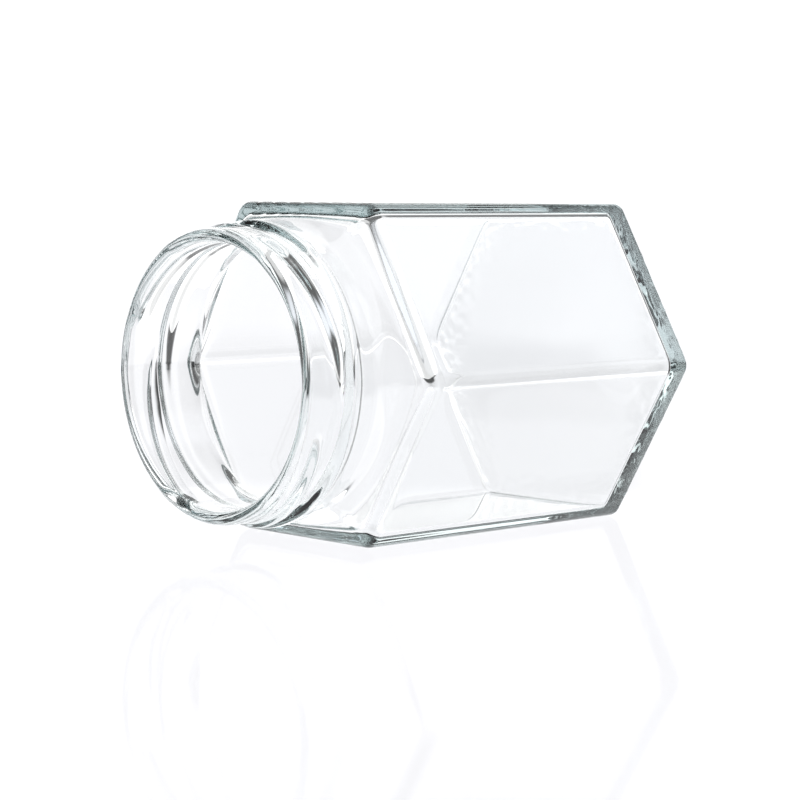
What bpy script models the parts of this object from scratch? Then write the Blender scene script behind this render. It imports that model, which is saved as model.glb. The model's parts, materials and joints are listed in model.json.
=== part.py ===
"""Hexagonal clear glass jar for a 63 mm twist-off lid, empty, lying on one flat side.

The jar is one solid. Its axis lies along X with the mouth at -X, its flat sides are
level at the bottom and the top, and the origin is under its middle on the floor.
Lengths are in metres. "Height" means the distance from the base plane along the axis.
"""

import math

import bmesh
import bpy
from mathutils import Vector

# Driving dimensions of the body
FLATS = 0.0675
LENGTH = 0.0990
SHOULDER_HEIGHT = 0.0759
CORNER_RADIUS = 0.0028
INNER_CORNER_RADIUS = 0.0024
HEEL_RADIUS = 0.0020
SHOULDER_EDGE_RADIUS = 0.0024
WALL = 0.0029

# Base
BASE_THICKNESS = 0.0044
PUSH_UP = 0.0014
PUSH_UP_RADIUS = 0.0284
FLOOR_FILLET = 0.0010
FLOOR_CROWN = 0.0006

# Shoulder, between the hexagon and the round neck
SHOULDER_RISE = 0.0060
SHOULDER_CONE_SHARE = 0.35

# The inside's shoulder, and the rounded throat where it meets the bore
INNER_SHOULDER_RISE = 0.0072
THROAT_HEIGHT = 0.0826
THROAT_RADIUS = 0.0055
THROAT_TURN = math.radians(45.0)

# Neck and lip
NECK_ROOT_RADIUS = 0.0293
LIP_RADIUS = 0.0289
BORE_RADIUS = 0.0262
BEAD_HEIGHT = 0.0879
BEAD_HALF_WIDTH = 0.0019
BEAD_RADIUS = 0.0305

# Lugs that the lid turns under
LUGS = 4
LUG_START = math.radians(74.0)
LUG_SWEEP = math.radians(84.0)
LUG_RELIEF = 0.0013
LUG_LOW_HEIGHT = 0.0901
LUG_TOP_START = 0.0966
LUG_TOP_END = 0.0912
LUG_WIDTH = 0.0028

# How finely the surface is cut
CORNER_STEPS = 5
FLAT_STEPS = 11
SIDE_STEPS = CORNER_STEPS + FLAT_STEPS
RING_STEPS = 6 * SIDE_STEPS

APOTHEM = FLATS / 2.0
INNER_APOTHEM = APOTHEM - WALL
GLASS_COLOUR = (0.86, 0.91, 0.89, 1.0)


def ring_angle(step):
    """Return the angle round the axis of a step: 0 faces -Y, a quarter turn is up."""
    return (step - CORNER_STEPS / 2.0) * math.tau / RING_STEPS


def circle_point(step, radius):
    """Return (across, up) on a circle about the axis."""
    angle = ring_angle(step)
    return -radius * math.cos(angle), radius * math.sin(angle)


def hexagon_point(step, apothem, corner_radius):
    """Return (across, up) on a hexagon with rounded corners, level at top and bottom."""
    side, along = divmod(step, SIDE_STEPS)
    turn = side * math.tau / 6.0
    centre = (apothem - corner_radius) / math.cos(math.pi / 6.0)
    if along <= CORNER_STEPS:
        sweep = turn + (along / CORNER_STEPS - 0.5) * math.pi / 3.0
        out = centre * math.cos(turn) + corner_radius * math.cos(sweep)
        up = centre * math.sin(turn) + corner_radius * math.sin(sweep)
        return -out, up
    share = (along - CORNER_STEPS) / FLAT_STEPS
    normal = turn + math.pi / 6.0
    half_flat = centre * math.sin(math.pi / 6.0)
    slide = (2.0 * share - 1.0) * half_flat
    out = apothem * math.cos(normal) - slide * math.sin(normal)
    up = apothem * math.sin(normal) + slide * math.cos(normal)
    return -out, up


def circle_ring(height, radius):
    """Return one ring of points on a circle, at a height above the base."""
    return [(height, *circle_point(step, radius)) for step in range(RING_STEPS)]


def hexagon_ring(height, apothem, corner_radius):
    """Return one ring of points on the rounded hexagon, at a height above the base."""
    return [(height, *hexagon_point(step, apothem, corner_radius)) for step in range(RING_STEPS)]


def blended_ring(height, hexagon, circle, share):
    """Return a ring between a hexagon ring and a circle ring: share 1 is the circle."""
    ring = []
    for six, one in zip(hexagon, circle):
        across = six[1] + (one[1] - six[1]) * share
        up = six[2] + (one[2] - six[2]) * share
        ring.append((height, across, up))
    return ring


def shoulder_rings(hexagon, radius, foot_height, rise, steps):
    """Return the rings from a hexagon up to a round neck, ending along the axis."""
    circle = circle_ring(0.0, radius)
    rings = []
    for step in range(1, steps + 1):
        share = math.sin(step / steps * math.pi / 2.0)
        hollow = 1.0 - math.sqrt(max(0.0, 1.0 - share * share))
        climb = SHOULDER_CONE_SHARE * share + (1.0 - SHOULDER_CONE_SHARE) * hollow
        rings.append(blended_ring(foot_height + rise * climb, hexagon, circle, share))
    return rings


def base_rings():
    """Return the rings of the outer base, from near the centre to the flat bearing edge."""
    rings = []
    for share in (0.25, 0.5, 0.7, 0.85, 1.0):
        lift = PUSH_UP * (1.0 - share * share) ** 2
        rings.append(circle_ring(lift, PUSH_UP_RADIUS * share))
    return rings


def body_rings():
    """Return the outer rings from the heel to the shoulder's edge."""
    rings = []
    heel_steps = 3
    for step in range(heel_steps + 1):
        angle = step / heel_steps * math.pi / 2.0
        inset = HEEL_RADIUS * (1.0 - math.sin(angle))
        height = HEEL_RADIUS * (1.0 - math.cos(angle))
        rings.append(hexagon_ring(height, APOTHEM - inset, CORNER_RADIUS - inset * 0.5))
    edge_steps = 3
    for step in range(edge_steps + 1):
        angle = step / edge_steps * math.pi / 2.0
        inset = SHOULDER_EDGE_RADIUS * (1.0 - math.cos(angle))
        height = SHOULDER_HEIGHT - SHOULDER_EDGE_RADIUS * (1.0 - math.sin(angle))
        rings.append(hexagon_ring(height, APOTHEM - inset, CORNER_RADIUS - inset * 0.5))
    return rings


def bead_rings():
    """Return the rings of the rounded bead under the lugs."""
    rings = []
    steps = 6
    for step in range(steps + 1):
        side = 2.0 * step / steps - 1.0
        foot = NECK_ROOT_RADIUS if side < 0.0 else LIP_RADIUS
        radius = foot + (BEAD_RADIUS - foot) * math.cos(side * math.pi / 2.0) ** 0.8
        rings.append(circle_ring(BEAD_HEIGHT + side * BEAD_HALF_WIDTH, radius))
    return rings


def lug_share(angle):
    """Return how far along its lug an angle lies: 0 at its blunt start, 1 at its tip."""
    spacing = math.tau / LUGS
    return ((LUG_START - angle) % spacing) / LUG_SWEEP


def lug_swell(share):
    """Return the relief of a lug along its length: quick at the start, fading to the tip."""
    if share >= 1.0:
        return 0.0
    rise = min(1.0, share / 0.16)
    fall = min(1.0, (1.0 - share) / 0.30)
    smooth_rise = rise * rise * (3.0 - 2.0 * rise)
    smooth_fall = fall * fall * (3.0 - 2.0 * fall)
    return smooth_rise * smooth_fall


def lug_top(share):
    """Return the height of the lug's upper edge, which slopes down towards the tip."""
    if share < 1.0:
        return LUG_TOP_START + (LUG_TOP_END - LUG_TOP_START) * share
    gap = math.tau / LUGS / LUG_SWEEP - 1.0
    back = (share - 1.0) / gap
    return LUG_TOP_END + (LUG_TOP_START - LUG_TOP_END) * back


def lug_rings():
    """Return the rings over the lugs, which are rounded ridges that slope like a thread."""
    rings = []
    for across in (0.0, 0.2, 0.5, 0.8, 1.0):
        relief = LUG_RELIEF * max(0.0, math.sin(math.pi * across)) ** 0.8
        ring = []
        for step in range(RING_STEPS):
            share = lug_share(ring_angle(step))
            top = lug_top(share)
            low = max(top - LUG_WIDTH, LUG_LOW_HEIGHT)
            radius = LIP_RADIUS + relief * lug_swell(share)
            ring.append((low + (top - low) * across, *circle_point(step, radius)))
        rings.append(ring)
    return rings


def lip_rings():
    """Return the rings over the fully rounded lip, from the outside to the bore."""
    middle = (LIP_RADIUS + BORE_RADIUS) / 2.0
    half = (LIP_RADIUS - BORE_RADIUS) / 2.0
    rings = []
    steps = 8
    for step in range(steps + 1):
        angle = step / steps * math.pi
        rings.append(circle_ring(LENGTH - half + half * math.sin(angle), middle + half * math.cos(angle)))
    return rings


def inner_shoulder_rings():
    """Return the inside's rings from the hexagon up over the throat to the bore."""
    crest_height = THROAT_HEIGHT - THROAT_RADIUS * math.sin(THROAT_TURN)
    crest_radius = BORE_RADIUS + THROAT_RADIUS * (1.0 - math.cos(THROAT_TURN))
    rings = []
    for share in (0.0, 0.25, 0.45, 0.6, 0.72, 0.82, 0.91, 1.0):
        height = crest_height - INNER_SHOULDER_RISE * (1.0 - share)
        reach = INNER_APOTHEM + (crest_radius - INNER_APOTHEM) * share * share
        ease = min(1.0, max(0.0, (share - 0.35) / 0.6))
        roundness = ease * ease * (3.0 - 2.0 * ease)
        hexagon = hexagon_ring(height, reach, INNER_CORNER_RADIUS)
        rings.append(blended_ring(height, hexagon, circle_ring(height, reach), roundness))
    for left in (0.75, 0.5, 0.25, 0.0):
        angle = THROAT_TURN * left
        height = THROAT_HEIGHT - THROAT_RADIUS * math.sin(angle)
        rings.append(circle_ring(height, BORE_RADIUS + THROAT_RADIUS * (1.0 - math.cos(angle))))
    return rings


def inner_rings():
    """Return the rings of the inside, from the bore down to the floor near its centre."""
    rings = list(reversed(inner_shoulder_rings()))
    floor_steps = 3
    for step in range(floor_steps + 1):
        angle = step / floor_steps * math.pi / 2.0
        inset = FLOOR_FILLET * (1.0 - math.cos(angle))
        height = BASE_THICKNESS + FLOOR_FILLET * (1.0 - math.sin(angle))
        rings.append(hexagon_ring(height, INNER_APOTHEM - inset, INNER_CORNER_RADIUS))
    rings.append(circle_ring(BASE_THICKNESS + FLOOR_CROWN * 0.5, PUSH_UP_RADIUS * 0.6))
    return rings


def place(point):
    """Turn (height, across, up) about the jar's axis into a place in the lying jar."""
    height, across, up = point
    return Vector((LENGTH / 2.0 - height, across, APOTHEM + up))


def skin(rings, first_centre, last_centre):
    """Return a mesh of triangles lofted through the rings, with a point closing each end."""
    mesh = bmesh.new()
    loops = [[mesh.verts.new(place(point)) for point in ring] for ring in rings]
    ends = ((loops[0], first_centre, True), (loops[-1], last_centre, False))
    for low, high in zip(loops, loops[1:]):
        for step in range(RING_STEPS):
            after = (step + 1) % RING_STEPS
            mesh.faces.new((low[step], low[after], high[after], high[step]))
    for loop, height, opening in ends:
        centre = mesh.verts.new(place((height, 0.0, 0.0)))
        for step in range(RING_STEPS):
            after = (step + 1) % RING_STEPS
            pair = (loop[after], loop[step]) if opening else (loop[step], loop[after])
            mesh.faces.new((*pair, centre))
    bmesh.ops.triangulate(mesh, faces=mesh.faces, quad_method="SHORT_EDGE")
    bmesh.ops.recalc_face_normals(mesh, faces=mesh.faces)
    return mesh


def glass_material():
    """Return clear soda-lime glass with a faint green tint."""
    material = bpy.data.materials.new("soda_lime_glass")
    material.use_nodes = True
    shader = material.node_tree.nodes["Principled BSDF"]
    shader.inputs["Base Color"].default_value = GLASS_COLOUR
    shader.inputs["Metallic"].default_value = 0.0
    shader.inputs["Roughness"].default_value = 0.03
    shader.inputs["IOR"].default_value = 1.52
    shader.inputs["Transmission Weight"].default_value = 1.0
    material.diffuse_color = GLASS_COLOUR
    return material


def build_jar():
    """Build the jar as one closed solid and link it to the scene."""
    outer_shoulder_hexagon = hexagon_ring(
        0.0, APOTHEM - SHOULDER_EDGE_RADIUS, CORNER_RADIUS - SHOULDER_EDGE_RADIUS * 0.5
    )
    rings = base_rings()
    rings += body_rings()
    rings += shoulder_rings(outer_shoulder_hexagon, NECK_ROOT_RADIUS, SHOULDER_HEIGHT, SHOULDER_RISE, 6)
    rings += bead_rings()
    rings += lug_rings()
    rings += lip_rings()
    rings += inner_rings()
    mesh = skin(rings, PUSH_UP, BASE_THICKNESS + FLOOR_CROWN)
    data = bpy.data.meshes.new("jar")
    mesh.to_mesh(data)
    mesh.free()
    data.shade_smooth()
    data.set_sharp_from_angle(angle=math.radians(40.0))
    data.materials.append(glass_material())
    jar = bpy.data.objects.new("jar", data)
    bpy.context.scene.collection.objects.link(jar)
    return jar


def main():
    """Empty the scene and build the jar."""
    for old in list(bpy.data.objects):
        bpy.data.objects.remove(old, do_unlink=True)
    build_jar()


main()
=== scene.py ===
"""Clear hexagonal glass jar for a twist-off lid, lying empty on a white light table.

The jar's axis lies along X with the mouth at -X, and it rests on one flat side. Its
surface is grown ring by ring from two hexagons, one for the outside and one for the
inside, joined over the lip, and then smoothed. All lengths are in metres, and "height"
means the distance from the base plane along the jar's axis.
"""

import json
import logging
import math
from dataclasses import dataclass
from enum import Enum
from typing import Callable, Iterable

import bmesh
import bpy
from mathutils import Matrix, Vector

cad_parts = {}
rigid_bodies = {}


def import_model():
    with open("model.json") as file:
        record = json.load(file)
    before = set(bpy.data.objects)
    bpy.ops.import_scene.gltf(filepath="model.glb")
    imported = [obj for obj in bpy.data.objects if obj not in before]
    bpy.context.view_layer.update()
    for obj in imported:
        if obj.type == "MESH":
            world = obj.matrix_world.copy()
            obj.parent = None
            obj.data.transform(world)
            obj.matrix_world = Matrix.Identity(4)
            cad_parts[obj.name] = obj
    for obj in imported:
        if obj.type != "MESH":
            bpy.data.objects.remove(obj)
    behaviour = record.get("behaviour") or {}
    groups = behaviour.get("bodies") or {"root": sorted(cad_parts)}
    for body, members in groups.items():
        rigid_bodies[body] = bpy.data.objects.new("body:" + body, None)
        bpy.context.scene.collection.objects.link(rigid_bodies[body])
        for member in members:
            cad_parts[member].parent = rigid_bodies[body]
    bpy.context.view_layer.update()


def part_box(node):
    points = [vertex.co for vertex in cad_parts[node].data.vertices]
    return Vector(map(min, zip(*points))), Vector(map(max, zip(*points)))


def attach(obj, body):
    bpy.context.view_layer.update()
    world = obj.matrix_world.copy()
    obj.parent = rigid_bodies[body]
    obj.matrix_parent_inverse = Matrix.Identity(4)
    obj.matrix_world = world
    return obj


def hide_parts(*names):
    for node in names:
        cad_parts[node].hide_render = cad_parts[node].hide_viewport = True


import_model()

LOG = logging.getLogger("hexagonal_jar")
MM = 0.001
IMAGE_PIXELS = 800
SENSOR_MM = 36.0

# The half width of a light that shines from every bearing, in degrees.
ALL_ROUND = 180.0
# Half the root of three, the sine of the angle between two flats.
HALF_ROOT_THREE = 0.866
# The mean radius of a hexagon with rounded corners, per length of its apothem.
HEXAGON_MEAN_RADIUS = 1.073
# The points at which a quarter of a round edge is laid out, in degrees.
ARC_STEP = 30.0
QUARTER_ARC = (0.0, 30.0, 60.0, 90.0)


class Region(Enum):
    """The parts of the glass that are worked after the form is smoothed."""

    LUGS = "lugs"
    SLOPE = "slope"
    STIPPLE = "stipple"
    FROST = "frost"


def linear(hex_colour: str) -> tuple[float, float, float, float]:
    """Turn an sRGB hex colour into linear values.

    Args:
        hex_colour: Six hex digits with a leading hash.

    Returns:
        Red, green, blue and an alpha of one.
    """
    digits = hex_colour.lstrip("#")
    channels = []
    for start in (0, 2, 4):
        value = int(digits[start:start + 2], 16) / 255.0
        channels.append(value / 12.92 if value <= 0.04045 else ((value + 0.055) / 1.055) ** 2.4)
    return (channels[0], channels[1], channels[2], 1.0)


def add_node(
    tree: bpy.types.NodeTree, kind: str, settings: dict | None = None, links: dict | None = None
) -> bpy.types.Node:
    """Add one node with its settings and its incoming links.

    Args:
        tree: The node tree to add to.
        kind: The node's class name.
        settings: Attributes by name, or input values by socket name or number.
        links: Output sockets by the name or number of the input that they feed.

    Returns:
        The new node.
    """
    node = tree.nodes.new(kind)
    for name, value in (settings or {}).items():
        if isinstance(name, str) and hasattr(node, name):
            setattr(node, name, value)
        else:
            node.inputs[name].default_value = value
    for name, output in (links or {}).items():
        tree.links.new(output, node.inputs[name])
    return node


def math_node(
    tree: bpy.types.NodeTree, operation: str, *values: float | bpy.types.NodeSocket
) -> bpy.types.NodeSocket:
    """Add a Math node.

    Args:
        tree: The node tree to add to.
        operation: The name of the operation.
        values: A number or an output socket for each input.

    Returns:
        The node's output.
    """
    inputs = dict(enumerate(values))
    numbers = {place: value for place, value in inputs.items() if isinstance(value, (int, float))}
    sockets = {place: value for place, value in inputs.items() if place not in numbers}
    settings = {"operation": operation, **numbers}
    return add_node(tree, "ShaderNodeMath", settings, sockets).outputs[0]


def length_node(
    tree: bpy.types.NodeTree, first: bpy.types.NodeSocket, second: bpy.types.NodeSocket
) -> bpy.types.NodeSocket:
    """Add the nodes that give the length of a flat vector.

    Args:
        tree: The node tree to add to.
        first: The one side of the vector.
        second: The side that is square to it.

    Returns:
        The length.
    """
    squares = [math_node(tree, "MULTIPLY", side, side) for side in (first, second)]
    return math_node(tree, "SQRT", math_node(tree, "ADD", *squares))


def fade(
    tree: bpy.types.NodeTree, value: bpy.types.NodeSocket, inner: float, outer: float
) -> bpy.types.NodeSocket:
    """Fade from one at the inner value to nought at the outer value.

    Args:
        tree: The node tree to add to.
        value: The value that the fade follows.
        inner: Where the fade starts.
        outer: Where the fade ends.

    Returns:
        The share that is left.
    """
    return add_node(tree, "ShaderNodeMapRange", {
        "interpolation_type": "SMOOTHSTEP",
        "From Min": inner,
        "From Max": outer,
        "To Min": 1.0,
        "To Max": 0.0,
    }, {"Value": value}).outputs[0]


def off_bearing(
    tree: bpy.types.NodeTree, x: bpy.types.NodeSocket, y: bpy.types.NodeSocket, bearing: float
) -> bpy.types.NodeSocket:
    """Find how many degrees a direction lies to either side of a bearing.

    Args:
        tree: The node tree to add to.
        x: The direction's x.
        y: The direction's y.
        bearing: The bearing in degrees, turning from +X towards +Y.

    Returns:
        The angle, from 0 to 180.
    """
    turn = math_node(tree, "DEGREES", math_node(tree, "ARCTAN2", y, x))
    off = math_node(tree, "SUBTRACT", turn, bearing)
    return math_node(tree, "ABSOLUTE", math_node(tree, "WRAP", off, 180.0, -180.0))


def new_material(name: str) -> bpy.types.Material:
    """Make an empty node material.

    Args:
        name: The material's name.

    Returns:
        The material, with no nodes.
    """
    material = bpy.data.materials.new(name)
    material.use_nodes = True
    material.node_tree.nodes.clear()
    return material


def only_active(piece: bpy.types.Object) -> None:
    """Deselect everything, then select one object and make it active.

    Args:
        piece: The object to select.
    """
    for other in bpy.context.view_layer.objects:
        other.select_set(other == piece)
    bpy.context.view_layer.objects.active = piece


def pick_edges(piece: bpy.types.Object, wanted: Callable[[bmesh.types.BMEdge], bool]) -> None:
    """In edit mode, select the edges that pass a test and nothing else.

    Args:
        piece: The object in edit mode.
        wanted: Tells whether an edge is to be selected.
    """
    bpy.ops.mesh.select_all(action="DESELECT")
    mesh = bmesh.from_edit_mesh(piece.data)
    for edge in mesh.edges:
        if wanted(edge):
            edge.select_set(True)
    bmesh.update_edit_mesh(piece.data)


def plump(turn: float) -> float:
    """Find how much wider than its arc a cage is, so that the smoothed arc keeps its radius.

    Args:
        turn: The angle between two neighbouring points of the cage, in degrees.

    Returns:
        The cage's radius per radius of the arc.
    """
    return 6.0 / (4.0 + 2.0 * math.cos(math.radians(turn)))


def smooth_step(value: float) -> float:
    """Ease a value between nought and one, flat at both ends."""
    value = min(1.0, max(0.0, value))
    return value * value * (3.0 - 2.0 * value)


@dataclass(frozen=True)
class SodaLimeGlass:
    """Soda-lime container glass, pressed and blown, then fire-polished.

    The surface is optically smooth, so nothing but the form bends the light, except on
    the underside, where the mould's fine stipple blurs what shows through it. Traces of
    iron tint it green, which shows only where light runs a long way through the wall,
    the thick base or the lip.
    """

    name: str = "soda_lime_glass"
    refraction: float = 1.52
    stipple_roughness: float = 0.28
    tint: str = "#a5cfcf"
    absorption_per_metre: float = 8.0

    def material(self) -> bpy.types.Material:
        """Make the glass material.

        Returns:
            The material, clear but for its tint and its stippled region.
        """
        material = new_material(self.name)
        tree = material.node_tree
        stipple = add_node(tree, "ShaderNodeAttribute", {"attribute_name": Region.FROST.value})
        roughness = math_node(tree, "MULTIPLY", stipple.outputs["Fac"], self.stipple_roughness)
        surface = add_node(tree, "ShaderNodeBsdfPrincipled", {
            "Base Color": linear("#ffffff"),
            "IOR": self.refraction,
            "Transmission Weight": 1.0,
        }, {"Roughness": roughness})
        body = add_node(tree, "ShaderNodeVolumeAbsorption", {
            "Color": linear(self.tint),
            "Density": self.absorption_per_metre,
        })
        add_node(tree, "ShaderNodeOutputMaterial", None, {
            "Surface": surface.outputs[0],
            "Volume": body.outputs[0],
        })
        return material


@dataclass(frozen=True)
class OpalAcrylic:
    """Opal acrylic sheet lit from below, as on a product light table.

    It glows in a wedge that is just wider than the camera's field, all the way to the
    backdrop, and is dark to both sides of it, so that the glass gets dark contours on a
    bright ground. Its glow is turned down under the jar, a painted shade, and a little
    behind it, a painted shadow. Its gloss keeps a faint mirror image of what stands on it.
    The wedge and the painted shadow behind the jar are measured from the wedge's apex, a
    point on the table right under the camera, by bearing in degrees and by distance.
    """

    name: str = "opal_acrylic"
    colour: str = "#fcfcff"
    glow: float = 1.04
    dim_glow: float = 0.03
    wedge_apex: tuple[float, float] = (-0.332, -0.346)
    wedge_bearing: float = 46.0
    lit_half_angle: float = 12.0
    dark_half_angle: float = 17.0
    # The painted shade under the jar: how far the glow is turned down there.
    shade: float = 0.4
    shade_ends: tuple[float, float] = (-24.0 * MM, 46.0 * MM)
    shade_middle: float = 2.0 * MM
    shade_core: float = 10.0 * MM
    shade_reach: float = 20.0 * MM
    # The painted shadow behind the jar: how far the glow is turned down there.
    shadow: float = 0.12
    shadow_half_angles: tuple[float, float] = (5.4, 6.6)
    shadow_start: float = 0.52
    shadow_full: float = 0.56
    shadow_thinning: float = 0.91
    shadow_end: float = 1.3
    gloss_share: float = 0.08
    gloss_roughness: float = 0.06

    def material(self) -> bpy.types.Material:
        """Make the light table's material.

        Returns:
            The material, a glow under a faint gloss.
        """
        material = new_material(self.name)
        tree = material.node_tree
        place = add_node(tree, "ShaderNodeTexCoord").outputs["Object"]
        parts = add_node(tree, "ShaderNodeSeparateXYZ", None, {0: place})
        x, y = parts.outputs[0], parts.outputs[1]
        ahead = math_node(tree, "SUBTRACT", x, self.wedge_apex[0])
        aside = math_node(tree, "SUBTRACT", y, self.wedge_apex[1])
        distance = length_node(tree, ahead, aside)
        side = off_bearing(tree, ahead, aside, self.wedge_bearing)
        lit = fade(tree, side, self.lit_half_angle, self.dark_half_angle)
        # Painted shade: the glow is turned down under the jar's body.
        lit = math_node(tree, "MULTIPLY", lit, self._painted_shade_under(tree, x, y))
        # Painted shadow: the glow is turned down in a cone behind the jar.
        lit = math_node(tree, "MULTIPLY", lit, self._painted_shadow_behind(tree, distance, side))
        strength = add_node(tree, "ShaderNodeMapRange", {
            "To Min": self.dim_glow,
            "To Max": self.glow,
        }, {"Value": lit}).outputs[0]
        glow = add_node(tree, "ShaderNodeEmission", {
            "Color": linear(self.colour),
        }, {"Strength": strength})
        gloss = add_node(tree, "ShaderNodeBsdfGlossy", {
            "Color": linear("#ffffff"),
            "Roughness": self.gloss_roughness,
        })
        mix = add_node(tree, "ShaderNodeMixShader", {0: self.gloss_share}, {
            1: glow.outputs[0],
            2: gloss.outputs[0],
        })
        add_node(tree, "ShaderNodeOutputMaterial", None, {"Surface": mix.outputs[0]})
        return material

    def _painted_shade_under(
        self, tree: bpy.types.NodeTree, x: bpy.types.NodeSocket, y: bpy.types.NodeSocket
    ) -> bpy.types.NodeSocket:
        """Paint shade on the table under the jar's body by turning the glow down there.

        Args:
            tree: The node tree to add to.
            x: The place along X.
            y: The place along Y.

        Returns:
            The share of the glow that is left.
        """
        middle = sum(self.shade_ends) / 2.0
        half = (self.shade_ends[1] - self.shade_ends[0]) / 2.0 - self.shade_reach
        off_middle = math_node(tree, "ABSOLUTE", math_node(tree, "SUBTRACT", x, middle))
        along = math_node(tree, "MAXIMUM", math_node(tree, "SUBTRACT", off_middle, half), 0.0)
        across = math_node(tree, "SUBTRACT", y, self.shade_middle)
        cover = fade(tree, length_node(tree, along, across), self.shade_core, self.shade_reach)
        return math_node(tree, "SUBTRACT", 1.0, math_node(tree, "MULTIPLY", cover, self.shade))

    def _painted_shadow_behind(
        self, tree: bpy.types.NodeTree, distance: bpy.types.NodeSocket, side: bpy.types.NodeSocket
    ) -> bpy.types.NodeSocket:
        """Paint a faint shadow of the jar on the table behind it, one that no light of the scene
        casts.

        Args:
            tree: The node tree to add to.
            distance: The distance from the wedge's apex.
            side: The angle off the wedge's bearing.

        Returns:
            The share of the glow that is left.
        """
        across = fade(tree, side, *self.shadow_half_angles)
        beyond = fade(tree, distance, self.shadow_full, self.shadow_start)
        before = fade(tree, distance, self.shadow_thinning, self.shadow_end)
        cover = math_node(tree, "MULTIPLY", across, math_node(tree, "MULTIPLY", beyond, before))
        return math_node(tree, "SUBTRACT", 1.0, math_node(tree, "MULTIPLY", cover, self.shadow))


@dataclass(frozen=True)
class Stop:
    """One ring of the form: its height, its reach to the flat and how round it is."""

    height: float
    reach: float
    roundness: float = 0.0


@dataclass
class Skin:
    """A tube of rings grown both ways from a rounded hexagon about the jar's axis."""

    name: str
    apothem: float
    corner_radius: float
    start_height: float
    base_x: float
    axis_z: float
    flat_cuts: int = 5
    corner_segments: int = 4
    tolerance: float = 0.01 * MM

    def build(
        self, towards_mouth: Iterable[Stop], towards_base: Iterable[Stop]
    ) -> bpy.types.Object:
        """Build the skin.

        Args:
            towards_mouth: The rings from the starting hexagon to the lip.
            towards_base: The rings from the starting hexagon to the closed end.

        Returns:
            The skin, open at the lip and closed at the base.
        """
        start_x = self.base_x - self.start_height
        bpy.ops.object.select_all(action="DESELECT")
        bpy.ops.mesh.primitive_circle_add(
            vertices=6,
            radius=self.apothem / math.cos(math.pi / 6.0),
            fill_type="NOTHING",
            location=(start_x, 0.0, self.axis_z),
            rotation=(0.0, math.pi / 2.0, 0.0),
        )
        skin = bpy.context.object
        skin.name = self.name
        bpy.ops.object.transform_apply(location=True, rotation=True, scale=True)
        bpy.ops.object.mode_set(mode="EDIT")
        self._round_corners(skin)
        self._grow(skin, towards_mouth)
        pick_edges(
            skin, lambda edge: all(abs(end.co.x - start_x) < self.tolerance for end in edge.verts)
        )
        self._grow(skin, towards_base)
        self._close_pole()
        bpy.ops.object.mode_set(mode="OBJECT")
        return skin

    def _round_corners(self, skin: bpy.types.Object) -> None:
        """Bevel the hexagon's corners and cut its flats into even lengths.

        Args:
            skin: The hexagon, in edit mode.
        """
        bpy.ops.mesh.select_mode(type="VERT")
        bpy.ops.mesh.select_all(action="SELECT")
        bpy.ops.mesh.bevel(
            offset=self.corner_radius * math.tan(math.pi / 6.0),
            offset_type="OFFSET",
            segments=self.corner_segments,
            profile=0.5,
            affect="VERTICES",
        )
        pick_edges(skin, lambda edge: edge.calc_length() > 2.0 * self.corner_radius)
        bpy.ops.mesh.subdivide(number_cuts=self.flat_cuts)
        bpy.ops.mesh.select_all(action="SELECT")

    def _grow(self, skin: bpy.types.Object, stops: Iterable[Stop]) -> None:
        """Extrude the selected ring through the stops.

        Args:
            skin: The skin, in edit mode with one ring selected.
            stops: The rings to add, in order.
        """
        height = self.start_height
        roundness = 0.0
        for stop in stops:
            step = height - stop.height
            bpy.ops.mesh.extrude_region_move(TRANSFORM_OT_translate={"value": (step, 0.0, 0.0)})
            if stop.roundness > roundness:
                bpy.ops.transform.tosphere(
                    value=1.0 - (1.0 - stop.roundness) / (1.0 - roundness),
                    center_override=(self.base_x - stop.height, 0.0, self.axis_z),
                )
            mesh = bmesh.from_edit_mesh(skin.data)
            reach = max(point.co.z for point in mesh.verts if point.select) - self.axis_z
            scale = stop.reach / reach
            bpy.ops.transform.resize(
                value=(1.0, scale, scale), center_override=(self.base_x, 0.0, self.axis_z)
            )
            height = stop.height
            roundness = max(roundness, stop.roundness)

    def _close_pole(self) -> None:
        """Close the end with one point in the middle of its last ring."""
        bpy.ops.mesh.extrude_region_move(TRANSFORM_OT_translate={"value": (0.0, 0.0, 0.0)})
        bpy.ops.mesh.merge(type="CENTER")


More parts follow.
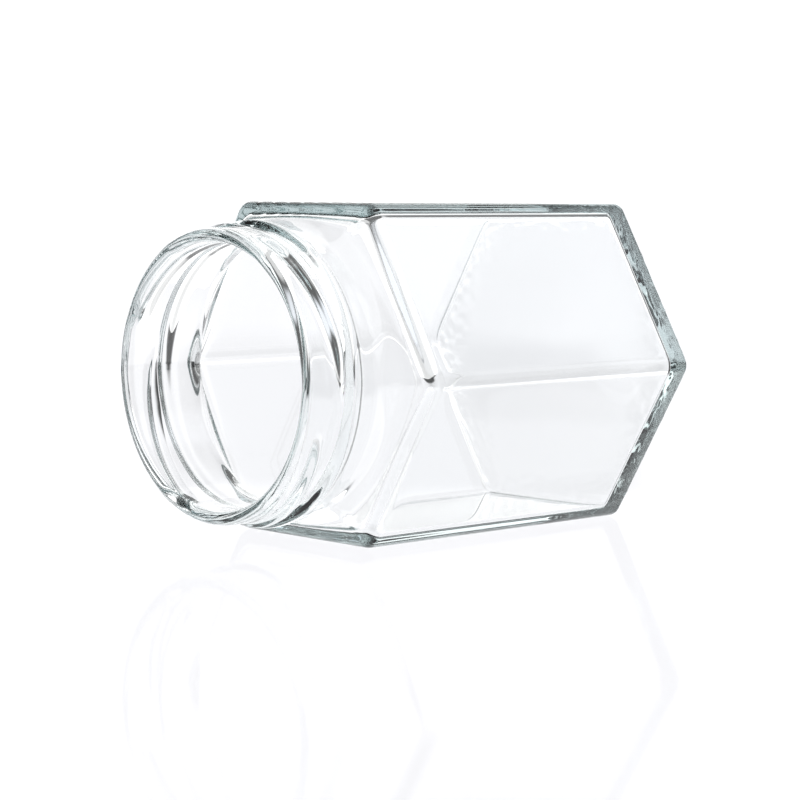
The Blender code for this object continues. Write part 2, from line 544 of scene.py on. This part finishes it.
@dataclass
class GlassJar:
    """The jar, one piece of glass, with its sizes in metres."""

    flats: float
    length: float
    base_x: float
    waist_height: float = 32.0 * MM
    shoulder_height: float = 75.9 * MM
    corner_radius: float = 2.8 * MM
    inner_corner_radius: float = 2.4 * MM
    heel_radius: float = 2.0 * MM
    shoulder_edge_radius: float = 2.4 * MM
    wall: float = 2.9 * MM
    base_thickness: float = 4.4 * MM
    push_up: float = 1.4 * MM
    push_up_radius: float = 28.4 * MM
    floor_fillet: float = 1.0 * MM
    floor_crown: float = 0.6 * MM
    shoulder_rise: float = 6.0 * MM
    cone_share: float = 0.35
    throat_height: float = 82.6 * MM
    throat_radius: float = 5.5 * MM
    throat_turn: float = 45.0
    inner_rise: float = 7.2 * MM
    neck_root_radius: float = 29.3 * MM
    lip_radius: float = 28.9 * MM
    bore_radius: float = 26.2 * MM
    bead_height: float = 87.9 * MM
    bead_half_width: float = 1.9 * MM
    bead_radius: float = 30.5 * MM
    bead_fullness: float = 0.8
    lugs: int = 4
    lug_start: float = math.radians(74.0)
    lug_sweep: float = math.radians(84.0)
    lug_relief: float = 1.3 * MM
    lug_low: float = 90.1 * MM
    lug_top_start: float = 96.6 * MM
    lug_top_end: float = 91.2 * MM
    lug_width: float = 2.8 * MM
    lug_rise_share: float = 0.16
    lug_fall_share: float = 0.30
    lug_fullness: float = 0.8
    lug_rows: int = 8
    stipple_width: float = 11.0 * MM
    stipple_height: float = 1.6 * MM
    stipple_fade: float = 0.6 * MM
    stipple_size: float = 1.7 * MM
    stipple_depth: float = 0.3 * MM
    stipple_cuts: int = 1
    least_stipple: float = 0.05
    crease: float = 0.5 * MM
    smoothing: int = 2
    outer_rows_up: tuple[float, ...] = (46.0 * MM, 60.0 * MM, 70.0 * MM)
    outer_rows_down: tuple[float, ...] = (18.0 * MM, 7.0 * MM)
    inner_rows_up: tuple[float, ...] = (46.0 * MM, 60.0 * MM, 68.0 * MM)
    inner_rows_down: tuple[float, ...] = (20.0 * MM, 10.0 * MM)
    bore_rows: tuple[float, ...] = (86.5 * MM, 91.0 * MM, 95.0 * MM)
    bead_sides: tuple[float, ...] = (-1.0, -0.6, -0.2, 0.2, 0.6, 1.0)
    inner_shoulder_shares: tuple[float, ...] = (0.0, 0.25, 0.45, 0.6, 0.72, 0.82, 0.91, 1.0)
    inner_rounding: tuple[float, float] = (0.35, 0.95)
    throat_turns: tuple[float, ...] = (34.0, 20.0, 0.0)

    @property
    def axis_z(self) -> float:
        """Return the height of the jar's axis above the table."""
        return self.flats / 2.0

    @property
    def apothem(self) -> float:
        """Return the distance from the axis to an outer flat."""
        return self.flats / 2.0

    @property
    def lip_middle(self) -> float:
        """Return the radius of the lip's crest."""
        return (self.lip_radius + self.bore_radius) / 2.0

    @property
    def lip_half(self) -> float:
        """Return half of the lip's thickness, which is also its radius."""
        return (self.lip_radius - self.bore_radius) / 2.0

    @property
    def lug_drop(self) -> float:
        """Return how far a lug's upper edge comes down from its start to its tip."""
        return self.lug_top_start - self.lug_top_end

    def build(self) -> bpy.types.Object:
        """Build the jar's glass.

        Returns:
            The jar as one closed mesh at the origin.
        """
        place = (self.waist_height, self.base_x, self.axis_z)
        outside = Skin("jar_glass", self.apothem, self.corner_radius, *place)
        inside = Skin("jar_inside", self.apothem - self.wall, self.inner_corner_radius, *place)
        outer = outside.build(self.outer_towards_mouth(), self.outer_towards_base())
        inner = inside.build(self.inner_towards_mouth(), self.inner_towards_base())
        jar = self._join_lip(outer, inner)
        self._smooth(jar)
        self._refine_stipple(jar)
        self._displace(jar, Region.LUGS, self.lug_weight, self.lug_relief)
        self._displace(jar, Region.SLOPE, self.slope_weight, self.lug_drop, direction="X")
        self._displace(
            jar, Region.STIPPLE, self.stipple_weight, -self.stipple_depth, self._dimples()
        )
        self._mark(jar, Region.FROST, self.stipple_weight)
        bpy.ops.object.shade_smooth()
        return jar

    def outer_towards_mouth(self) -> list[Stop]:
        """Lay out the outside from the waist to the crest of the lip.

        Returns:
            The stops, in order.
        """
        top = self.shoulder_height
        edge = self.shoulder_edge_radius
        stops = [Stop(height, self.apothem) for height in self.outer_rows_up]
        stops.append(Stop(top - edge - self.crease, self.apothem))
        for turn in QUARTER_ARC:
            angle = math.radians(turn)
            stops.append(Stop(
                top - edge * (1.0 - math.sin(angle)),
                self.apothem - edge * (1.0 - math.cos(angle)),
            ))
        stops += self._shoulder()
        neck = self.bead_height - 2.0 * self.bead_half_width
        stops.append(Stop(neck, self.neck_root_radius, 1.0))
        stops += self._bead()
        low = self.bead_height + self.bead_half_width
        high = self.length - 2.0 * self.lip_half
        for row in range(1, self.lug_rows + 1):
            stops.append(Stop(low + (high - low) * row / self.lug_rows, self.lip_radius, 1.0))
        stops += self._lip(QUARTER_ARC, 1.0)
        return stops

    def _shoulder(self, steps: int = 6) -> list[Stop]:
        """Lay out the outside from the hexagon's shoulder edge up to the round neck.

        Args:
            steps: How many stops to use.

        Returns:
            The stops, the last of them round.
        """
        apothem = self.apothem - self.shoulder_edge_radius
        stops = []
        for step in range(1, steps + 1):
            share = math.sin(step / steps * math.pi / 2.0)
            hollow = 1.0 - math.sqrt(max(0.0, 1.0 - share * share))
            climb = self.cone_share * share + (1.0 - self.cone_share) * hollow
            six = (1.0 - share) * apothem * HEXAGON_MEAN_RADIUS
            stops.append(Stop(
                self.shoulder_height + self.shoulder_rise * climb,
                apothem + (self.neck_root_radius - apothem) * share,
                1.0 - six / (six + share * self.neck_root_radius),
            ))
        return stops

    def _bead(self) -> list[Stop]:
        """Lay out the bead below the lugs.

        Returns:
            The stops over the bead, all of them round.
        """
        stops = []
        for side in self.bead_sides:
            foot = self.neck_root_radius if side < 0.0 else self.lip_radius
            swell = 0.0
            if abs(side) < 1.0:
                swell = math.cos(side * math.pi / 2.0) ** self.bead_fullness
            height = self.bead_height + side * self.bead_half_width
            stops.append(Stop(height, foot + (self.bead_radius - foot) * swell, 1.0))
        return stops

    def _lip(self, turns: Iterable[float], side: float) -> list[Stop]:
        """Lay out one side of the rounded lip, from its foot up.

        Args:
            turns: The turns round the lip's section, in degrees; 90 is the crest.
            side: One for the outside, minus one for the inside.

        Returns:
            The stops, all of them round.
        """
        radius = self.lip_half * plump(ARC_STEP)
        stops = []
        for turn in turns:
            rise = radius * math.sin(math.radians(turn))
            reach = radius * math.cos(math.radians(turn))
            stops.append(Stop(
                self.length - self.lip_half + rise, self.lip_middle + side * reach, 1.0
            ))
        return stops

    def outer_towards_base(self) -> list[Stop]:
        """Lay out the outside from the waist to the middle of the base.

        Returns:
            The stops, in order.
        """
        heel = self.heel_radius
        ring = self.push_up_radius
        stops = [Stop(height, self.apothem) for height in self.outer_rows_down]
        stops.append(Stop(heel + self.crease, self.apothem))
        for turn in QUARTER_ARC:
            angle = math.radians(turn)
            stops.append(Stop(
                heel * (1.0 - math.sin(angle)), self.apothem - heel * (1.0 - math.cos(angle))
            ))
        stops.append(Stop(0.0, 0.5 * (self.apothem - heel + ring)))
        stops.append(Stop(0.0, ring, 0.05))
        rings = ((0.9, 0.35), (0.78, 0.8), (0.62, 1.0), (0.42, 1.0), (0.2, 1.0), (0.05, 1.0))
        for share, roundness in rings:
            stops.append(Stop(self.push_up * (1.0 - share * share) ** 2, ring * share, roundness))
        return stops

    def inner_towards_mouth(self) -> list[Stop]:
        """Lay out the inside from the waist to the crest of the lip.

        Returns:
            The stops, in order.
        """
        inner = self.apothem - self.wall
        stops = [Stop(height, inner) for height in self.inner_rows_up]
        stops += self._inner_shoulder(inner)
        stops += [Stop(height, self.bore_radius, 1.0) for height in self.bore_rows]
        stops += self._lip(QUARTER_ARC[:-1], -1.0)
        return stops

    def _inner_shoulder(self, inner: float) -> list[Stop]:
        """Lay out the inside from its hexagon up to the bore, over the round throat.

        Args:
            inner: The inner hexagon's distance to its flats.

        Returns:
            The stops, the last of them round.
        """
        half_turn = math.radians(self.throat_turn)
        crest = self.throat_height - self.throat_radius * math.sin(half_turn)
        crest_radius = self.bore_radius + self.throat_radius * (1.0 - math.cos(half_turn))
        six_until, round_from = self.inner_rounding
        stops = []
        for share in self.inner_shoulder_shares:
            height = crest - self.inner_rise * (1.0 - share)
            reach = inner + (crest_radius - inner) * share * share
            roundness = smooth_step((share - six_until) / (round_from - six_until))
            stops.append(Stop(height, reach, roundness))
        for turn in self.throat_turns:
            angle = math.radians(turn)
            stops.append(Stop(
                self.throat_height - self.throat_radius * math.sin(angle),
                self.bore_radius + self.throat_radius * (1.0 - math.cos(angle)),
                1.0,
            ))
        return stops

    def inner_towards_base(self) -> list[Stop]:
        """Lay out the inside from the waist to the middle of the floor.

        Returns:
            The stops, in order.
        """
        inner = self.apothem - self.wall
        fillet = self.floor_fillet
        stops = [Stop(height, inner) for height in self.inner_rows_down]
        stops.append(Stop(self.base_thickness + fillet + self.crease, inner))
        for turn in QUARTER_ARC:
            angle = math.radians(turn)
            stops.append(Stop(
                self.base_thickness + fillet * (1.0 - math.sin(angle)),
                inner - fillet * (1.0 - math.cos(angle)),
            ))
        for share, roundness in ((0.94, 0.05), (0.7, 0.6), (0.4, 1.0), (0.06, 1.0)):
            crown = self.floor_crown * (1.0 - share * share)
            stops.append(Stop(self.base_thickness + crown, (inner - fillet) * share, roundness))
        return stops

    def _join_lip(self, outer: bpy.types.Object, inner: bpy.types.Object) -> bpy.types.Object:
        """Join the two skins into one closed surface over the crest of the lip.

        Args:
            outer: The outside, which goes up to the crest.
            inner: The inside, which stops just short of it.

        Returns:
            The outer skin's object, which now holds both.
        """
        only_active(outer)
        inner.select_set(True)
        bpy.ops.object.join()
        bpy.ops.object.mode_set(mode="EDIT")
        bpy.ops.mesh.select_mode(type="EDGE")
        bpy.ops.mesh.select_all(action="DESELECT")
        bpy.ops.mesh.select_non_manifold()
        bpy.ops.mesh.bridge_edge_loops()
        bpy.ops.mesh.select_all(action="SELECT")
        bpy.ops.mesh.normals_make_consistent(inside=False)
        bpy.ops.object.mode_set(mode="OBJECT")
        return outer

    def _smooth(self, jar: bpy.types.Object) -> None:
        """Round the rings off with a subdivision surface.

        Args:
            jar: The piece to work on.
        """
        only_active(jar)
        rounding = jar.modifiers.new("rounding", "SUBSURF")
        rounding.levels = self.smoothing
        rounding.render_levels = self.smoothing
        bpy.ops.object.modifier_apply(modifier=rounding.name)

    def around(self, point: Vector) -> tuple[float, float, float]:
        """Find where a point lies about the jar's axis.

        Args:
            point: The point in the frame.

        Returns:
            Its height, its distance from the axis and its angle round it.
        """
        across = -point.y
        up = point.z - self.axis_z
        return self.base_x - point.x, math.hypot(across, up), math.atan2(up, across)

    def lug_share(self, angle: float) -> float:
        """Return how far along its lug an angle lies: 0 at the blunt start, 1 at the tip."""
        return ((self.lug_start - angle) % (math.tau / self.lugs)) / self.lug_sweep

    def lug_edges(self, share: float) -> tuple[float, float]:
        """Find a lug's edges, and their way back up between two lugs.

        Args:
            share: How far along the lug to look; above 1 is the gap before the next one.

        Returns:
            The heights of the lower and the upper edge.
        """
        if share < 1.0:
            top = self.lug_top_start - self.lug_drop * share
        else:
            gap = math.tau / self.lugs / self.lug_sweep - 1.0
            top = self.lug_top_end + self.lug_drop * (share - 1.0) / gap
        return max(top - self.lug_width, self.lug_low), top

    def lug_weight(self, point: Vector) -> float:
        """Find how far a point stands out as part of a lug, before the lugs are sloped.

        Args:
            point: The point in the frame.

        Returns:
            The share of the relief, from 0 to 1.
        """
        height, radius, angle = self.around(point)
        across = (height - self.lug_top_start) / self.lug_width + 1.0
        share = self.lug_share(angle)
        if radius < self.lip_middle or share >= 1.0 or not 0.0 < across < 1.0:
            return 0.0
        rise = smooth_step(share / self.lug_rise_share)
        fall = smooth_step((1.0 - share) / self.lug_fall_share)
        return rise * fall * math.sin(math.pi * across) ** self.lug_fullness

    def slope_weight(self, point: Vector) -> float:
        """Find how far a point slides towards the base, so that the lugs slope.

        Args:
            point: The point in the frame.

        Returns:
            The share of the lugs' whole drop.
        """
        height, radius, angle = self.around(point)
        if radius < self.lip_middle:
            return 0.0
        low, top = self.lug_edges(self.lug_share(angle))
        foot = self.bead_height + self.bead_half_width
        rest = self.lug_top_start + MM
        level = (foot, self.lug_top_start - self.lug_width, self.lug_top_start, rest)
        moved = (foot, low, top, rest)
        for step in range(3):
            if level[step] <= height <= level[step + 1]:
                share = (height - level[step]) / (level[step + 1] - level[step])
                slid = moved[step] + (moved[step + 1] - moved[step]) * share
                return (height - slid) / self.lug_drop
        return 0.0

    def flat_reach(self, point: Vector) -> float:
        """Find how far from the axis a point is, measured square to its nearest flat.

        Args:
            point: The point in the frame.

        Returns:
            The distance.
        """
        across = HALF_ROOT_THREE * -point.y
        up = point.z - self.axis_z
        return max(abs(up), abs(across + 0.5 * up), abs(across - 0.5 * up))

    def stipple_weight(self, point: Vector) -> float:
        """Find how deep the mould's stipple is, in its band round the underside.

        Args:
            point: The point in the frame.

        Returns:
            The share of the stipple's depth, from 0 to 1.
        """
        height = self.base_x - point.x
        band_start = self.apothem - self.stipple_width
        outward = smooth_step((self.flat_reach(point) - band_start) / self.stipple_width)
        below = smooth_step((self.stipple_height - height) / self.stipple_fade)
        return outward * below

    def _refine_stipple(self, jar: bpy.types.Object) -> None:
        """Cut the faces of the stippled band small enough for its dimples.

        Args:
            jar: The piece to work on.
        """
        only_active(jar)
        bpy.ops.object.mode_set(mode="EDIT")
        bpy.ops.mesh.select_mode(type="FACE")
        bpy.ops.mesh.select_all(action="DESELECT")
        mesh = bmesh.from_edit_mesh(jar.data)
        for face in mesh.faces:
            if self.stipple_weight(face.calc_center_median()) > self.least_stipple:
                face.select_set(True)
        bmesh.update_edit_mesh(jar.data)
        bpy.ops.mesh.subdivide(number_cuts=self.stipple_cuts)
        bpy.ops.object.mode_set(mode="OBJECT")

    def _mark(
        self, jar: bpy.types.Object, region: Region, weight: Callable[[Vector], float]
    ) -> None:
        """Keep a region's weight as an attribute that the glass can read.

        Args:
            jar: The piece to mark.
            region: Names the attribute.
            weight: Gives each point's value.
        """
        attribute = jar.data.attributes.new(name=region.value, type="FLOAT", domain="POINT")
        for vertex in jar.data.vertices:
            attribute.data[vertex.index].value = weight(vertex.co)

    def _dimples(self) -> bpy.types.Texture:
        """Make the pattern of the stipple.

        Returns:
            A texture of small round dimples.
        """
        pattern = bpy.data.textures.new("stipple", "CLOUDS")
        pattern.noise_scale = self.stipple_size
        pattern.noise_depth = 0
        pattern.intensity = 1.0
        return pattern

    def _displace(
        self,
        jar: bpy.types.Object,
        region: Region,
        weight: Callable[[Vector], float],
        strength: float,
        pattern: bpy.types.Texture | None = None,
        direction: str = "NORMAL",
    ) -> None:
        """Move a region of the surface along its normals or along an axis.

        Args:
            jar: The piece to work on.
            region: Names the group of points.
            weight: Gives each point's share of the move.
            strength: The move in metres where the weight is one.
            pattern: A pattern that varies the move, or none for an even one.
            direction: The modifier's name for the direction of the move.
        """
        group = jar.vertex_groups.new(name=region.value)
        for vertex in jar.data.vertices:
            share = weight(vertex.co)
            if share > 0.0:
                group.add([vertex.index], share, "REPLACE")
        only_active(jar)
        push = jar.modifiers.new(region.value, "DISPLACE")
        push.vertex_group = group.name
        push.texture = pattern
        push.texture_coords = "LOCAL"
        push.mid_level = 0.0
        push.direction = direction
        push.strength = strength
        bpy.ops.object.modifier_apply(modifier=push.name)

    def dress(self, jar: bpy.types.Object, glass: SodaLimeGlass) -> None:
        """Give the jar its glass and put it in place of the CAD node.

        Args:
            jar: The built piece.
            glass: The finish that it gets.
        """
        jar.data.materials.clear()
        jar.data.materials.append(glass.material())
        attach(jar, "root")
        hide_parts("jar")


@dataclass
class LightTable:
    """The pale glowing floor that the jar lies on."""

    half_width: float = 30.0
    air_gap: float = 0.05 * MM

    def build(self, sheet: OpalAcrylic) -> bpy.types.Object:
        """Build the floor, a hair below the jar's lowest side.

        Args:
            sheet: The finish that it gets.

        Returns:
            The floor.
        """
        bpy.ops.object.select_all(action="DESELECT")
        bpy.ops.mesh.primitive_plane_add(
            size=2.0 * self.half_width, location=(0.0, 0.0, -self.air_gap)
        )
        floor = bpy.context.object
        floor.name = "light_table"
        bpy.ops.object.transform_apply(location=True, rotation=False, scale=False)
        floor.data.materials.append(sheet.material())
        return floor


@dataclass(frozen=True)
class SoftLight:
    """One soft light of the room, by the directions in which the jar sees it, in degrees."""

    bearing: float
    half_width: float
    lowest: float
    highest: float
    level: float
    colour: str = "#ffffff"
    edge: float = 8.0


@dataclass
class Studio:
    """The dark room round the table, with its backdrop and soft lights."""

    lights: tuple[SoftLight, ...] = (
        SoftLight(bearing=46.0, half_width=20.0, lowest=-90.0, highest=62.0, level=1.0),
        SoftLight(bearing=71.0, half_width=20.0, lowest=-90.0, highest=20.0, level=0.8),
        SoftLight(bearing=21.0, half_width=20.0, lowest=-90.0, highest=20.0, level=0.8),
        SoftLight(
            bearing=-32.0, half_width=16.0, lowest=25.0, highest=45.0, level=1.0, colour="#f4f8ff"
        ),
        SoftLight(bearing=0.0, half_width=ALL_ROUND, lowest=52.0, highest=90.0, level=0.6),
    )
    room_level: float = 0.14

    def build(self) -> bpy.types.World:
        """Light the scene from the room alone.

        Returns:
            The scene's world.
        """
        world = bpy.data.worlds.new("studio")
        bpy.context.scene.world = world
        world.use_nodes = True
        tree = world.node_tree
        tree.nodes.clear()
        place = add_node(tree, "ShaderNodeTexCoord").outputs["Generated"]
        parts = add_node(tree, "ShaderNodeSeparateXYZ", None, {0: place})
        total = add_node(tree, "ShaderNodeBackground", {
            "Color": linear("#ffffff"),
            "Strength": self.room_level,
        }).outputs[0]
        for light in self.lights:
            mask = self._mask(tree, parts.outputs, light)
            strength = math_node(tree, "MULTIPLY", mask, light.level)
            glow = add_node(tree, "ShaderNodeBackground", {
                "Color": linear(light.colour),
            }, {"Strength": strength})
            links = {0: total, 1: glow.outputs[0]}
            total = add_node(tree, "ShaderNodeAddShader", None, links).outputs[0]
        add_node(tree, "ShaderNodeOutputWorld", None, {"Surface": total})
        return world

    def _mask(
        self, tree: bpy.types.NodeTree, direction: bpy.types.NodeOutputs, light: SoftLight
    ) -> bpy.types.NodeSocket:
        """Find how much of a light a direction sees, soft at the light's edges.

        Args:
            tree: The node tree to add to.
            direction: The direction's x, y and z.
            light: The light.

        Returns:
            The share of the light, from 0 to 1.
        """
        across = 1.0
        if light.half_width < ALL_ROUND:
            side = off_bearing(tree, direction[0], direction[1], light.bearing)
            across = fade(tree, side, light.half_width - light.edge, light.half_width + light.edge)
        height = math_node(tree, "DEGREES", math_node(tree, "ARCSINE", direction[2]))
        middle = (light.lowest + light.highest) / 2.0
        half = (light.highest - light.lowest) / 2.0
        offset = math_node(tree, "ABSOLUTE", math_node(tree, "SUBTRACT", height, middle))
        along = fade(tree, offset, half - light.edge / 2.0, half + light.edge / 2.0)
        return math_node(tree, "MULTIPLY", across, along)


@dataclass
class ProductCamera:
    """The camera, placed by where it stands and the way it faces."""

    place: tuple[float, float, float] = (-0.33157, -0.34640, 0.06972)
    yaw: float = math.radians(46.118)
    pitch: float = math.radians(5.143)
    roll: float = math.radians(0.457)
    focal_pixels: float = 2319.48
    nearest: float = 0.01
    farthest: float = 200.0

    def build(self) -> bpy.types.Object:
        """Set up the scene's camera.

        Returns:
            The camera.
        """
        lens = bpy.data.cameras.new("product_camera")
        lens.sensor_width = SENSOR_MM
        lens.lens = self.focal_pixels * SENSOR_MM / IMAGE_PIXELS
        lens.clip_start = self.nearest
        lens.clip_end = self.farthest
        camera = bpy.data.objects.new("product_camera", lens)
        bpy.context.scene.collection.objects.link(camera)
        turn = (
            Matrix.Rotation(self.yaw - math.pi / 2.0, 4, "Z")
            @ Matrix.Rotation(math.pi / 2.0 - self.pitch, 4, "X")
            @ Matrix.Rotation(self.roll, 4, "Z")
        )
        camera.matrix_world = Matrix.Translation(self.place) @ turn
        bpy.context.scene.camera = camera
        return camera


@dataclass(frozen=True)
class Look:
    """How the light is shown, and how often it may bounce to get out of thick glass."""

    bounces: int = 40
    gloss_bounces: int = 16

    def apply(self) -> None:
        """Set the scene's view and its light paths."""
        scene = bpy.context.scene
        scene.view_settings.view_transform = "Standard"
        scene.view_settings.look = "None"
        scene.cycles.max_bounces = self.bounces
        scene.cycles.transmission_bounces = self.bounces
        scene.cycles.glossy_bounces = self.gloss_bounces
        scene.cycles.volume_bounces = 0


def main() -> None:
    """Build the jar, the table, the room and the camera."""
    logging.basicConfig(level=logging.INFO, format="%(name)s: %(message)s")
    low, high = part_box("jar")
    jar = GlassJar(flats=high.z - low.z, length=high.x - low.x, base_x=high.x)
    glass = jar.build()
    jar.dress(glass, SodaLimeGlass())
    LOG.info("%s: %d faces", glass.name, len(glass.data.polygons))
    floor = LightTable().build(OpalAcrylic())
    LOG.info("%s: stage", floor.name)
    studio = Studio()
    room = studio.build()
    LOG.info("%s: %d soft lights", room.name, len(studio.lights))
    camera = ProductCamera().build()
    LOG.info("%s: in place", camera.name)
    Look().apply()


if __name__ == "__main__":
    main()
